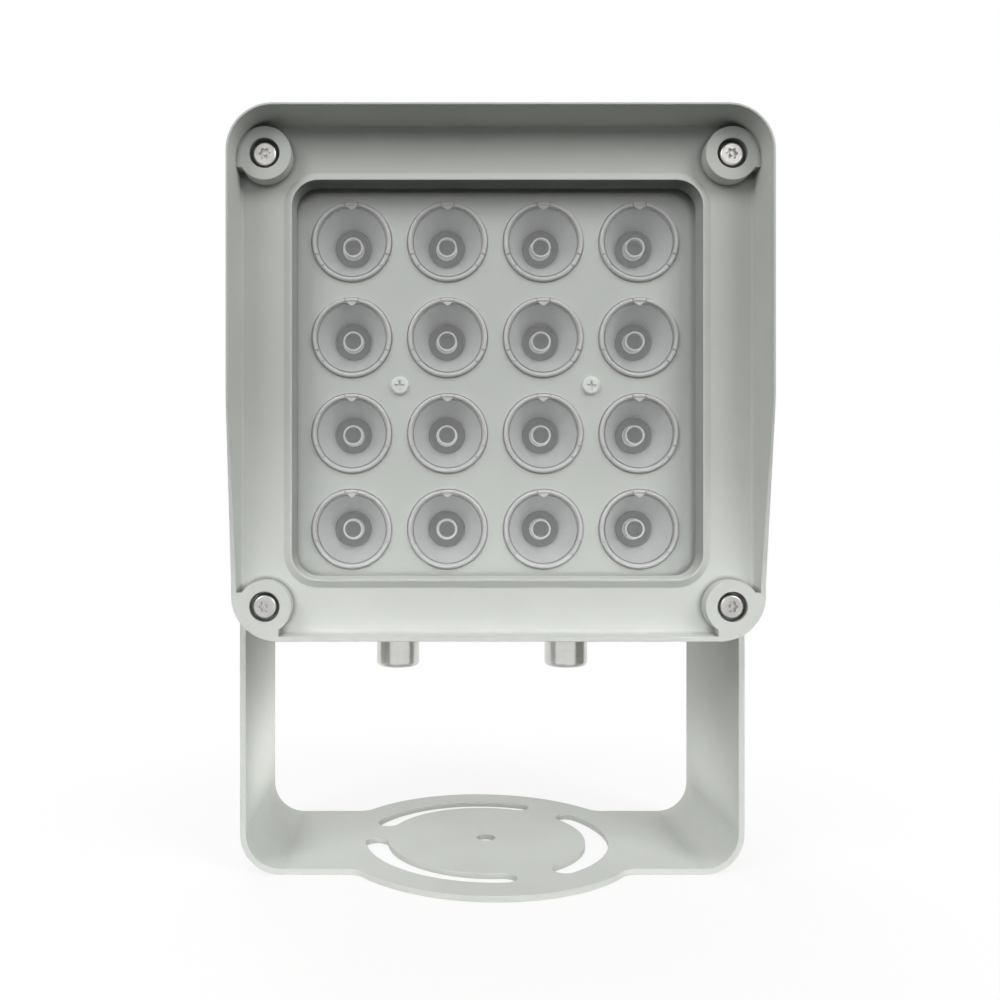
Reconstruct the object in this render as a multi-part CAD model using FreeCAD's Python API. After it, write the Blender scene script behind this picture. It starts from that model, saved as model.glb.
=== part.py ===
import FreeCAD, Part
import math
import os

# Infrared illuminator: a square cast head with a hood and sixteen lenses behind glass,
# tilting between the legs of a bent sheet bracket with a round slotted foot.
# Millimetres. The origin is the middle of the foot's underside, +Z is up, the light leaves towards -Y.

Vec = FreeCAD.Vector
ORIGIN = Vec(0, 0, 0)
RIGHT = Vec(1, 0, 0)
BACK = Vec(0, 1, 0)
UP = Vec(0, 0, 1)

# Bracket, bent from one sheet
sheet_thickness = 2.5
strip_width = 82.0
leg_clearance = 0.5
bend_radius = 15.0
foot_radius = 71.0
foot_blend_radius = 8.0
centre_hole_radius = 4.5
fixing_slot_circle = 51.5
fixing_slot_width = 10.6
fixing_slot_sweep_angle = 88.0
fixing_slot_middle_angles = (111.0, 231.0, 351.0)

# Tilt axis and its fastening
pivot_height = 208.6
tilt_limit_angle = 60.0
tilt_overrun_angle = 2.0
pivot_bolt_radius = 4.0
pivot_clearance = 0.08
pivot_flange_radius = 9.5
pivot_flange_thickness = 1.6
pivot_head_flats = 13.0
pivot_head_height = 5.4
pivot_thread_depth = 20.0
pivot_thread_wall = 5.0
pivot_thread_end = 3.0
lock_circle = 27.0
lock_screw_radius = 3.0
lock_clearance = 0.4
lock_flange_radius = 7.0
lock_flange_thickness = 1.2
lock_head_radius = 5.0
lock_head_height = 5.0
lock_socket_flats = 5.0
lock_socket_depth = 3.0
lock_thread_depth = 12.0
tilt_pad_radius = 34.0
tilt_pad_thickness = 1.2

# Head outline, seen from the front
head_width = 211.0
head_height = 208.2
head_corner_radius = 18.0
inner_drop = 0.8
wall = 3.0

# Front frame, places along Y from the front to the back
hood_front = -85.7
rim_front = -75.0
face_depth = 7.0
frame_depth = 29.0
hood_edge_thickness = 0.8
rim_foot_thickness = 2.7
hood_slope_top = 95.0
hood_slope_bottom = 22.0
hood_slope_round = 70.0
cove_radius = 1.6

# Window and its raised lip
window_width = 164.4
window_height = 159.8
window_corner_radius = 10.4
window_draft = 1.2
window_depth = 6.8
lip_rise = 2.0
lip_width = 3.3
lip_flat = 0.6

# Frame screws
screw_inset_across = 13.1
screw_inset_along = 14.5
screw_boss_radius = 10.6
screw_boss_shoulder = 5.6
screw_head_radius = 4.8
screw_head_height = 4.0
screw_well_radius = 6.0
screw_well_depth = 4.6
screw_shank_radius = 2.5
screw_length = 32.0
screw_column_radius = 11.0
screw_pin_radius = 0.7
screw_star_radius = 1.75
screw_lobe_radius = 0.6
screw_star_depth = 1.6

# Glass, seal and gaskets
seal_thickness = 1.2
seal_width = 3.6
glass_thickness = 3.0
glass_overlap = 4.5
glass_clearance = 0.5
pocket_rib_width = 2.4
pocket_rib_depth = 6.5
gasket_thickness = 1.2
gasket_width = 2.2
thread_clearance = 0.05
hole_clearance = 0.3

# Lens plate, lenses and holders
lens_pitch = 39.4
lens_count = 4
ring_gap = 0.2
ring_proud = 1.5
ring_outer_radius = 16.3
ring_inner_radius = 14.6
ring_hole_clearance = 0.35
ring_crest = 0.8
holder_height = 14.8
holder_collar_radius = 17.6
holder_collar_thickness = 1.0
holder_wall = 1.2
cup_top_radius = 13.9
cup_base_radius = 7.3
clip_middle_angles = (90.0, 210.0, 330.0)
clip_half_angle = 10.0
clip_slit_width = 0.6
clip_slit_depth = 1.5
pointer_width = 5.6
pointer_reach = 2.0
pointer_thickness = 0.5
lens_recess = 0.9
lens_flange_thickness = 1.0
lens_fit = 0.25
lens_tail_gap = 1.8
lens_tail_radius = 6.9
lens_pocket_radius = 4.1
lens_pocket_depth = 4.4
lens_pocket_bulge = 1.2
plate_thickness = 2.0
plate_border = 3.0
plate_screw_radius = 1.75
plate_screw_head_radius = 3.7
plate_screw_head_height = 1.5
plate_screw_length = 21.0
plate_screw_cross_width = 0.9
plate_screw_cross_reach = 1.9
plate_screw_cross_depth = 1.1
plate_post_radius = 4.2

# LED board and its pad
board_margin = 21.0
board_corner_radius = 6.0
board_thickness = 1.6
pad_thickness = 0.6
led_width = 5.4
led_height = 1.4
led_well_width = 4.2
led_well_depth = 0.8
led_die_width = 1.6
led_die_height = 0.3

# Rear housing
flange_inset = 0.6
spreader_thickness = 6.0
board_pocket_clearance = 2.0
core_half_width = 97.0
fin_thickness = 2.4
fin_pitch = 8.4
fin_count = 21
fin_back = 38.0
fin_end_inset = 8.0
fin_chamfer = 26.0
side_wall_thickness = 6.0
driver_box_half_width = 58.0
driver_box_rise = 1.0
driver_box_height = 126.0
driver_box_back = 46.0
driver_box_wall = 3.5
driver_box_floor = 5.0
driver_box_round = 8.0
cover_thickness = 3.5
cover_screw_radius = 2.0
cover_screw_head_radius = 3.6
cover_screw_head_height = 2.2
cover_screw_length = 14.0
cover_post_radius = 4.6
cover_post_length = 22.0
cover_screw_inset = 5.6
cover_screw_rows = (16.0, 63.0, 110.0)

# Cable glands
gland_column = 42.4
gland_depth = 31.7
gland_thread_radius = 8.0
gland_thread_length = 9.0
gland_hex_flats = 22.0
gland_hex_height = 5.0
gland_nut_radius = 10.7
gland_nut_length = 21.5
gland_nut_round = 2.6
gland_nut_lip = 2.2
gland_nut_bore_radius = 4.6
gland_spigot_radius = 8.5
gland_spigot_length = 14.0
gland_spigot_bore_radius = 6.6
gland_bore_radius = 5.0
gland_cable_radius = 3.5
gland_seal_length = 10.0
gland_fit = 0.1

# Driver
driver_board_width = 96.0
driver_board_height = 92.0
driver_board_standoff = 8.0
driver_board_rise = 14.0
standoff_radius = 3.5
connector_width = 14.0
connector_height = 7.0
standoff_inset = 6.0
transformer_size = (30.0, 22.0, 28.0)
transformer_place = (-38.0, 4.0)
capacitor_radius = 8.0
capacitor_length = 25.0
capacitor_places = ((26.0, 28.0), (26.0, 8.0))
choke_radius = 9.0
choke_length = 12.0
choke_place = (4.0, 30.0)
terminal_size = (30.0, 13.0, 12.0)
terminal_inset = 2.0
terminal_hole_radius = 2.4

# Places that follow from the sizes above
leg_inside = head_width / 2 + leg_clearance
leg_outside = leg_inside + sheet_thickness
face_front = rim_front + face_depth
frame_back = rim_front + frame_depth
lip_front = face_front - lip_rise
ledge = lip_front + window_depth
glass_front = ledge + seal_thickness
glass_back = glass_front + glass_thickness
ring_front = glass_back + ring_gap
plate_front = ring_front + ring_proud
plate_back = plate_front + plate_thickness
board_front = ring_front + holder_height
board_back = board_front + board_thickness
spreader_front = board_back + pad_thickness
spreader_back = spreader_front + spreader_thickness
flange_front = frame_back + gasket_thickness
head_bottom = pivot_height - head_height / 2
screw_column = head_width / 2 - screw_inset_across
screw_row = head_height / 2 - screw_inset_along
grid_height = pivot_height - inner_drop
glass_width = window_width + 2 * glass_overlap
glass_height = window_height + 2 * glass_overlap
glass_corner_radius = window_corner_radius + glass_overlap
grid_span = lens_pitch * (lens_count - 1)
board_width = grid_span + 2 * board_margin
lens_front = ring_front + lens_recess
lens_seat = lens_front + lens_flange_thickness
box_bottom = head_bottom + driver_box_rise
box_top = box_bottom + driver_box_height
box_middle = (box_bottom + box_top) / 2
cover_front = driver_box_back + gasket_thickness
driver_board_front = spreader_back + driver_board_standoff
driver_board_middle = box_bottom + driver_box_floor + driver_board_rise + driver_board_height / 2
pad_face = leg_inside - tilt_pad_thickness


# Outline of a rounded rectangle across the Y axis, as one closed wire
def outline(width, height, radius, y, middle=pivot_height):
    w = width / 2
    h = height / 2
    r = min(radius, w * 0.99, h * 0.99)
    k = r * (1 - math.sqrt(0.5))

    def point(x, z):
        return Vec(x, y, middle + z)

    def corner(sx, sz, first, last):
        return Part.Arc(first, point(sx * (w - k), sz * (h - k)), last).toShape()

    p = [point(-w, -h + r), point(-w, h - r), point(-w + r, h), point(w - r, h),
         point(w, h - r), point(w, -h + r), point(w - r, -h), point(-w + r, -h)]
    edges = [
        Part.LineSegment(p[0], p[1]).toShape(), corner(-1, 1, p[1], p[2]),
        Part.LineSegment(p[2], p[3]).toShape(), corner(1, 1, p[3], p[4]),
        Part.LineSegment(p[4], p[5]).toShape(), corner(1, -1, p[5], p[6]),
        Part.LineSegment(p[6], p[7]).toShape(), corner(-1, -1, p[7], p[0])]
    return Part.Wire(edges)


# Rounded block between two places along Y
def slab(width, height, radius, front, back, middle=pivot_height):
    face = Part.Face(outline(width, height, radius, front, middle))
    return face.extrude(Vec(0, back - front, 0))


# Rounded ring: a slab with a smaller one taken out of it
def slab_ring(width, height, radius, band, front, back, middle=pivot_height):
    outer = slab(width, height, radius, front, back, middle)
    inner = slab(width - 2 * band, height - 2 * band, max(radius - band, 0.5), front, back, middle)
    return outer.cut(inner)


# Block with a low corner and three lengths
def block(x, y, z, dx, dy, dz):
    return Part.makeBox(dx, dy, dz, Vec(x, y, z))


def rod_along_y(radius, x, z, front, back):
    return Part.makeCylinder(radius, back - front, Vec(x, front, z), BACK)


# Round bar along X on either side, between two distances from the middle
def rod_along_x(radius, side, near, far, y=0.0, z=pivot_height):
    return Part.makeCylinder(radius, far - near, Vec(side * near, y, z), RIGHT * side)


# Solid of revolution about Z. A point is (radius, height); a pair of points is an arc's middle and end
def turned(points):
    edges = []
    start = Vec(points[0][0], 0, points[0][1])
    here = start
    for item in points[1:]:
        if isinstance(item[0], tuple):
            middle = Vec(item[0][0], 0, item[0][1])
            there = Vec(item[1][0], 0, item[1][1])
            edges.append(Part.Arc(here, middle, there).toShape())
        else:
            there = Vec(item[0], 0, item[1])
            edges.append(Part.LineSegment(here, there).toShape())
        here = there
    edges.append(Part.LineSegment(here, start).toShape())
    return Part.Face(Part.Wire(edges)).revolve(ORIGIN, UP, 360)


# The same about Y: heights run from the front to the back
def turned_back(points):
    solid = turned(points)
    solid.rotate(ORIGIN, RIGHT, -90)
    return solid


# End of a turned outline: a shallow dome from a radius to the axis, as an arc's middle and end
def dome(radius, height, rise):
    sphere = (radius ** 2 + rise ** 2) / (2 * rise)
    half = math.asin(radius / sphere) / 2
    return (sphere * math.sin(half), height + rise - sphere * (1 - math.cos(half))), (0, height + rise)


def hexagon(across_flats, low, high):
    radius = across_flats / math.sqrt(3)
    corners = [Vec(radius * math.cos(math.radians(60 * i)), radius * math.sin(math.radians(60 * i)), low)
               for i in range(7)]
    return Part.Face(Part.makePolygon(corners)).extrude(Vec(0, 0, high - low))


# Curved slot with round ends on a circle about Z
def arc_slot(circle, width, start, end, low, height):
    def on(radius, angle, shift=0.0):
        a = math.radians(angle)
        return Vec(radius * math.cos(a) - shift * math.sin(a), radius * math.sin(a) + shift * math.cos(a), low)

    middle = (start + end) / 2
    inner = circle - width / 2
    outer = circle + width / 2
    edges = [
        Part.Arc(on(outer, start), on(outer, middle), on(outer, end)).toShape(),
        Part.Arc(on(outer, end), on(circle, end, width / 2), on(inner, end)).toShape(),
        Part.Arc(on(inner, end), on(inner, middle), on(inner, start)).toShape(),
        Part.Arc(on(inner, start), on(circle, start, -width / 2), on(outer, start)).toShape()]
    return Part.Face(Part.Wire(edges)).extrude(Vec(0, 0, height))


def fused(shapes):
    return shapes[0].multiFuse(shapes[1:]).removeSplitter()


# Bracket

# Block with two round lower edges, as deep as the strip is wide
def trough(half_width, floor, radius):
    k = radius * (1 - math.sqrt(0.5))
    y = -strip_width / 2
    left = Vec(-half_width, y, pivot_height)
    left_low = Vec(-half_width, y, floor + radius)
    left_bend = Vec(-half_width + k, y, floor + k)
    left_floor = Vec(-half_width + radius, y, floor)
    right_floor = Vec(half_width - radius, y, floor)
    right_bend = Vec(half_width - k, y, floor + k)
    right_low = Vec(half_width, y, floor + radius)
    right = Vec(half_width, y, pivot_height)
    edges = [
        Part.LineSegment(left, left_low).toShape(),
        Part.Arc(left_low, left_bend, left_floor).toShape(),
        Part.LineSegment(left_floor, right_floor).toShape(),
        Part.Arc(right_floor, right_bend, right_low).toShape(),
        Part.LineSegment(right_low, right).toShape(),
        Part.LineSegment(right, left).toShape()]
    return Part.Face(Part.Wire(edges)).extrude(Vec(0, strip_width, 0))


def foot_blends(sheet):
    y = strip_width / 2
    x = math.sqrt(foot_radius ** 2 - y ** 2)
    edges = []
    for edge in sheet.Edges:
        middle = edge.CenterOfMass
        if abs(abs(middle.x) - x) < 0.05 and abs(abs(middle.y) - y) < 0.05:
            edges.append(edge)
    return sheet.makeFillet(foot_blend_radius, edges)


def lock_slot(side):
    sweep = tilt_limit_angle + tilt_overrun_angle
    slot = arc_slot(lock_circle, 2 * (lock_screw_radius + lock_clearance), 90 - sweep, 90 + sweep,
                    -sheet_thickness, 3 * sheet_thickness)
    # the slot's own X, Y and Z turn to the bracket's Y, Z and X
    slot.rotate(ORIGIN, Vec(1, 1, 1), 120)
    slot.translate(Vec(leg_inside if side > 0 else -leg_outside, 0, pivot_height))
    return slot


def bracket():
    outside = trough(leg_outside, 0.0, bend_radius + sheet_thickness)
    inside = trough(leg_inside, sheet_thickness, bend_radius)
    strip = outside.cut(inside)
    foot = Part.makeCylinder(foot_radius, sheet_thickness)
    leg_tops = [rod_along_x(strip_width / 2, side, leg_inside, leg_outside) for side in (-1, 1)]
    sheet = foot_blends(fused([strip, foot] + leg_tops))
    cuts = [Part.makeCylinder(centre_hole_radius, 3 * sheet_thickness, Vec(0, 0, -sheet_thickness))]
    for middle in fixing_slot_middle_angles:
        cuts.append(arc_slot(fixing_slot_circle, fixing_slot_width, middle - fixing_slot_sweep_angle / 2,
                             middle + fixing_slot_sweep_angle / 2, -sheet_thickness, 3 * sheet_thickness))
    for side in (-1, 1):
        cuts.append(rod_along_x(pivot_bolt_radius + pivot_clearance, side,
                                leg_inside - sheet_thickness, leg_outside + sheet_thickness))
        cuts.append(lock_slot(side))
    return sheet.cut(cuts)


# Front frame

# Space inside the hood and rim, with walls that thicken towards the face
def hood_space():
    slope = (rim_foot_thickness - hood_edge_thickness) / (face_front - hood_front)
    ahead = 1.0
    thin = hood_edge_thickness - slope * ahead
    front = outline(head_width - 2 * thin, head_height - 2 * thin, head_corner_radius - thin,
                    hood_front - ahead)
    back = outline(head_width - 2 * rim_foot_thickness, head_height - 2 * rim_foot_thickness,
                   head_corner_radius - rim_foot_thickness, face_front)
    space = Part.makeLoft([front, back], True, True)
    floor_edges = [e for e in space.Edges if abs(e.BoundBox.YMin - face_front) < 0.01
                   and abs(e.BoundBox.YMax - face_front) < 0.01]
    return space.makeFillet(cove_radius, floor_edges)


# What is cut away in front of the hood's sloping edge, seen from the side
def hood_trim():
    top = head_bottom + hood_slope_top
    bottom = head_bottom + hood_slope_bottom
    ahead = hood_front - 5.0
    below = head_bottom - 5.0
    angle = math.atan2(rim_front - hood_front, top - bottom)
    tangent = hood_slope_round * math.tan(angle / 2)
    sag = hood_slope_round * (1 / math.cos(angle / 2) - 1)

    # an arc that rounds one bend of the edge, from the straight part above to the one below
    def round_bend(y, z, above, below_bend, side):
        start = Vec(0, y + math.sin(above) * tangent, z + math.cos(above) * tangent)
        end = Vec(0, y + math.sin(below_bend) * tangent, z - math.cos(below_bend) * tangent)
        middle = Vec(0, y + side * sag * math.cos(angle / 2), z + side * sag * math.sin(angle / 2))
        return start, middle, end

    upper = round_bend(hood_front, top, 0.0, angle, 1)
    lower = round_bend(rim_front, bottom, -angle, 0.0, -1)
    edges = [
        Part.LineSegment(Vec(0, ahead, upper[0].z), upper[0]).toShape(),
        Part.Arc(*upper).toShape(),
        Part.LineSegment(upper[2], lower[0]).toShape(),
        Part.Arc(*lower).toShape(),
        Part.LineSegment(lower[2], Vec(0, rim_front, below)).toShape(),
        Part.LineSegment(Vec(0, rim_front, below), Vec(0, ahead, below)).toShape(),
        Part.LineSegment(Vec(0, ahead, below), Vec(0, ahead, upper[0].z)).toShape()]
    face = Part.Face(Part.Wire(edges))
    face.translate(Vec(-head_width, 0, 0))
    return face.extrude(Vec(2 * head_width, 0, 0))


def screw_places():
    return [(sx * screw_column, sz * screw_row) for sx in (-1, 1) for sz in (-1, 1)]


# Boss round a screw, level with the rim. It is grown to the side wall, and a lower one also to the bottom wall
def corner_boss(x, z):
    sx = math.copysign(1, x)
    height = grid_height + z
    depth = face_front + 1.0
    reach_x = head_width / 2 - abs(x)
    reach_z = head_height / 2 + inner_drop - abs(z)
    post = rod_along_y(screw_boss_radius, x, height, rim_front, depth)
    outward = min(x, x + sx * reach_x)
    if z > 0:
        return post.fuse(block(outward, rim_front, height - screw_boss_shoulder,
                               reach_x, depth - rim_front, screw_boss_shoulder))
    across = block(outward, rim_front, height - reach_z,
                   reach_x, depth - rim_front, reach_z + screw_boss_shoulder)
    along = block(min(x - sx * screw_boss_shoulder, x + sx * reach_x), rim_front, height - reach_z,
                  reach_x + screw_boss_shoulder, depth - rim_front, reach_z)
    return post.multiFuse([across, along])


# Rim of metal round the window that stands proud of the face
def window_lip():
    base_front = face_front + 0.5
    grow = lip_width * (1 + 0.5 / lip_rise)
    base = outline(window_width + 2 * grow, window_height + 2 * grow, window_corner_radius + grow, base_front)
    crest = outline(window_width + 2 * lip_flat, window_height + 2 * lip_flat,
                    window_corner_radius + lip_flat, lip_front)
    return Part.makeLoft([crest, base], True, True)


# Window opening, a little narrower at the glass
def window_hole():
    slope = window_draft / window_depth
    over = 1.0

    def section(y):
        shrink = slope * (y - lip_front)
        return outline(window_width - 2 * shrink, window_height - 2 * shrink, window_corner_radius - shrink, y)

    return Part.makeLoft([section(lip_front - over), section(ledge + over)], True, True)


def front_frame():
    body = slab(head_width, head_height, head_corner_radius, hood_front, frame_back)
    envelope = body.copy()
    body = body.cut([hood_space(), hood_trim()])
    bosses = [corner_boss(x, z).common(envelope) for x, z in screw_places()]
    body = fused([body, window_lip()] + bosses)
    hollow = slab(head_width - 2 * wall, head_height - 2 * wall, head_corner_radius - wall, ledge, frame_back)
    columns = [rod_along_y(screw_column_radius, x, grid_height + z, ledge, frame_back)
               for x, z in screw_places()]
    pocket = glass_clearance + pocket_rib_width
    rib = slab_ring(glass_width + 2 * pocket, glass_height + 2 * pocket, glass_corner_radius + pocket,
                    pocket_rib_width, ledge, ledge + pocket_rib_depth)
    glass_room = slab(glass_width + 2 * glass_clearance, glass_height + 2 * glass_clearance,
                      glass_corner_radius + glass_clearance, ledge, frame_back)
    columns = [column.common(envelope).cut(glass_room) for column in columns]
    body = body.cut([window_hole(), hollow])
    body = fused([body, rib] + columns)
    cuts = []
    for x, z in screw_places():
        height = grid_height + z
        cuts.append(rod_along_y(screw_well_radius, x, height, rim_front, rim_front + screw_well_depth))
        cuts.append(rod_along_y(screw_shank_radius + hole_clearance, x, height, rim_front, frame_back))
    return body.cut(cuts)


# Screws with a six-lobed recess round a small pin, lying along Y with the head in front
def star_screw(head_radius, head_height, shank_radius, length):
    edge = head_height * 0.25
    screw = turned_back([(0, 0), (head_radius - edge, 0),
                         ((head_radius - edge * 0.3, edge * 0.3), (head_radius, edge)),
                         (head_radius, head_height), (shank_radius, head_height), (shank_radius, length), (0, length)])
    ring = turned_back([(screw_pin_radius, -1), (screw_star_radius, -1),
                        (screw_star_radius, screw_star_depth), (screw_pin_radius, screw_star_depth)])
    lobes = []
    for i in range(6):
        a = math.radians(60 * i)
        lobes.append(rod_along_y(screw_lobe_radius, screw_star_radius * math.cos(a), screw_star_radius * math.sin(a),
                                 -1, screw_star_depth))
    return screw.cut([ring] + lobes)


def frame_screws():
    first = star_screw(screw_head_radius, screw_head_height, screw_shank_radius, screw_length)
    top = rim_front + screw_well_depth - screw_head_height
    screws = []
    for x, z in screw_places():
        screw = first.copy()
        screw.translate(Vec(x, top, grid_height + z))
        screws.append(screw)
    return Part.makeCompound(screws)


# Glass, seals and gaskets

def front_glass():
    return slab(glass_width, glass_height, glass_corner_radius, glass_front, glass_back)


def glass_seal():
    return slab_ring(glass_width, glass_height, glass_corner_radius, seal_width, ledge, glass_front)


def housing_gasket():
    inset = 2 * flange_inset
    ring = slab_ring(head_width - inset, head_height - inset, head_corner_radius - flange_inset, gasket_width,
                     frame_back, flange_front)
    eyes = []
    holes = []
    for x, z in screw_places():
        eyes.append(rod_along_y(screw_column_radius, x, grid_height + z, frame_back, flange_front))
        holes.append(rod_along_y(screw_shank_radius + hole_clearance, x, grid_height + z, frame_back, flange_front))
    whole = slab(head_width - inset, head_height - inset, head_corner_radius - flange_inset,
                 frame_back, flange_front)
    return fused([ring] + [eye.common(whole) for eye in eyes]).cut(holes)


# Lens plate, holders, lenses

def grid_places():
    half = grid_span / 2
    return [(-half + lens_pitch * column, grid_height + half - lens_pitch * row)
            for row in range(lens_count) for column in range(lens_count)]


def plate_screw_places():
    return [(side * lens_pitch, grid_height) for side in (-1, 1)]


def lens_plate():
    plate = slab(glass_width, glass_height, glass_corner_radius, plate_front, plate_back)
    border = slab_ring(glass_width, glass_height, glass_corner_radius, plate_border, glass_back, plate_front)
    posts = [rod_along_y(plate_post_radius, x, z, plate_back, board_front) for x, z in plate_screw_places()]
    plate = fused([plate, border] + posts)
    holes = [rod_along_y(ring_outer_radius + ring_hole_clearance, x, z, plate_front, plate_back)
             for x, z in grid_places()]
    holes += [rod_along_y(plate_screw_radius + hole_clearance, x, z, plate_front, board_front)
              for x, z in plate_screw_places()]
    return plate.cut(holes)


def plate_screws():
    edge = plate_screw_head_height * 0.6
    head = plate_screw_head_radius
    first = turned_back([(0, 0), (head - edge, 0), ((head - edge * 0.3, edge * 0.3), (head, edge)),
                         (head, plate_screw_head_height), (plate_screw_radius, plate_screw_head_height),
                         (plate_screw_radius, plate_screw_length), (0, plate_screw_length)])
    width = plate_screw_cross_width
    reach = plate_screw_cross_reach
    flat = block(-reach, 0, -width / 2, 2 * reach, plate_screw_cross_depth, width)
    upright = block(-width / 2, 0, -reach, width, plate_screw_cross_depth, 2 * reach)
    first = first.cut([flat, upright])
    screws = []
    for x, z in plate_screw_places():
        screw = first.copy()
        screw.translate(Vec(x, plate_front - plate_screw_head_height, z))
        screws.append(screw)
    return Part.makeCompound(screws)


# Radial slit that separates a clip from the ring beside it
def clip_slit(angle):
    slit = block(ring_inner_radius - 1, ring_front - 1, -clip_slit_width / 2,
                 ring_outer_radius - ring_inner_radius + 2, clip_slit_depth + 1, clip_slit_width)
    slit.rotate(ORIGIN, Vec(0, -1, 0), angle)
    return slit


# Small triangle on the upper clip that points at the lens
def pointer():
    root = ring_inner_radius + 0.3
    front = lens_front - 0.05 - pointer_thickness
    corners = [Vec(-pointer_width / 2, front, root), Vec(pointer_width / 2, front, root),
               Vec(0, front, root - pointer_reach), Vec(-pointer_width / 2, front, root)]
    return Part.Face(Part.makePolygon(corners)).extrude(Vec(0, pointer_thickness, 0))


# Conical cup with a ring in front, on the middle line; the caller moves it to its place
def lens_holder():
    shoulder = plate_back + 0.1
    crest_back = ring_front + ring_crest
    profile = [
        (ring_inner_radius, lens_seat), (ring_inner_radius, crest_back),
        (((ring_inner_radius + ring_outer_radius) / 2, ring_front), (ring_outer_radius, crest_back)),
        (ring_outer_radius, shoulder), (holder_collar_radius, shoulder),
        (holder_collar_radius, shoulder + holder_collar_thickness),
        (cup_top_radius + holder_wall, shoulder + holder_collar_thickness),
        (cup_base_radius + holder_wall, board_front), (cup_base_radius, board_front),
        (cup_top_radius, lens_seat)]
    holder = turned_back(profile).fuse(pointer())
    slits = [clip_slit(middle + side * clip_half_angle) for middle in clip_middle_angles for side in (-1, 1)]
    return holder.cut(slits)


# Clear lens: a flange in the ring, a conical side and a pocket over the LED
def lens():
    tail = board_front - lens_tail_gap
    pocket = tail - lens_pocket_depth
    profile = [
        (0, lens_front), (ring_inner_radius - lens_fit, lens_front), (ring_inner_radius - lens_fit, lens_seat),
        (cup_top_radius - lens_fit, lens_seat), (lens_tail_radius, tail), (lens_pocket_radius, tail),
        (lens_pocket_radius, pocket), dome(lens_pocket_radius, pocket, lens_pocket_bulge)]
    return turned_back(profile)


# Board behind the lenses

def led_board():
    board = slab(board_width, board_width, board_corner_radius, board_front, board_back, grid_height)
    holes = [rod_along_y(plate_screw_radius + hole_clearance, x, z, board_front, board_back)
             for x, z in plate_screw_places()]
    return board.cut(holes)


# Square block centred on a place, between two depths
def square_block(x, z, width, front, back):
    return block(x - width / 2, front, z - width / 2, width, back - front, width)


# LED packages with a square well and the chip on its floor
def leds():
    front = board_front - led_height
    floor = front + led_well_depth
    packages = []
    for x, z in grid_places():
        base = square_block(x, z, led_width, front, board_front)
        well = square_block(x, z, led_well_width, front, floor)
        die = square_block(x, z, led_die_width, floor - led_die_height, floor)
        packages.append(base.cut(well).fuse(die))
    return Part.makeCompound(packages)


def connector_room(clearance):
    return block(-connector_width / 2 - clearance, board_back, driver_board_middle - connector_height / 2 - clearance,
                 connector_width + 2 * clearance, driver_board_front - board_back, connector_height + 2 * clearance)


def thermal_pad():
    pad = slab(board_width, board_width, board_corner_radius, board_back, spreader_front, grid_height)
    holes = [rod_along_y(plate_screw_radius + hole_clearance, x, z, board_back, spreader_front)
             for x, z in plate_screw_places()]
    return pad.cut(holes + [connector_room(1.0)])


# Rear housing

# Side view of a fin: straight against the spreader, its back corners cut off at a slant
def fin_profile(x, thickness):
    low = head_bottom + fin_end_inset
    high = head_bottom + head_height - fin_end_inset
    corners = [(spreader_back - 1, low), (fin_back - fin_chamfer, low), (fin_back, low + fin_chamfer),
               (fin_back, high - fin_chamfer), (fin_back - fin_chamfer, high), (spreader_back - 1, high)]
    points = [Vec(x - thickness / 2, y, z) for y, z in corners]
    return Part.Face(Part.makePolygon(points + points[:1])).extrude(Vec(thickness, 0, 0))


def fins():
    first = -fin_pitch * (fin_count - 1) / 2
    return [fin_profile(first + fin_pitch * i, fin_thickness) for i in range(fin_count)]


def cover_screw_places():
    x = driver_box_half_width - cover_screw_inset
    return [(side * x, box_bottom + row) for side in (-1, 1) for row in cover_screw_rows]


def standoff_places():
    x = driver_board_width / 2 - standoff_inset
    z = driver_board_height / 2 - standoff_inset
    return [(sx * x, driver_board_middle + sz * z) for sx in (-1, 1) for sz in (-1, 1)]


# Pad on the outside of a side wall, with metal behind it for the pivot bolt's thread
def pivot_pad(side):
    inner = core_half_width - side_wall_thickness
    face = rod_along_x(tilt_pad_radius, side, inner, pad_face)
    thread = rod_along_x(pivot_bolt_radius + pivot_thread_wall, side,
                         pad_face - pivot_thread_depth - pivot_thread_end, inner)
    return [face, thread]


def rear_housing():
    outer_inset = 2 * flange_inset
    base = slab(head_width - outer_inset, head_height - outer_inset, head_corner_radius - flange_inset,
                flange_front, spreader_back)
    parts = [base] + fins()
    for side in (-1, 1):
        parts.append(fin_profile(side * (core_half_width - side_wall_thickness / 2), side_wall_thickness))
        parts += pivot_pad(side)
    parts.append(slab(2 * driver_box_half_width, driver_box_height, driver_box_round, spreader_back - 1,
                      driver_box_back, box_middle))
    body = fused(parts)
    room = slab(2 * (driver_box_half_width - driver_box_wall), driver_box_height - driver_box_wall - driver_box_floor,
                driver_box_round - driver_box_wall, spreader_back, driver_box_back,
                box_middle + (driver_box_floor - driver_box_wall) / 2)
    pocket_width = board_width + 2 * board_pocket_clearance
    pocket = slab(pocket_width, pocket_width, board_corner_radius + board_pocket_clearance,
                  flange_front, spreader_front, grid_height)
    body = body.cut([room, pocket])
    posts = [rod_along_y(cover_post_radius, x, z, driver_box_back - cover_post_length, driver_box_back)
             for x, z in cover_screw_places()]
    feet = [rod_along_y(standoff_radius, x, z, spreader_back - 1, driver_board_front)
            for x, z in standoff_places()]
    return fused([body] + posts + feet).cut(housing_holes())


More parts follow.
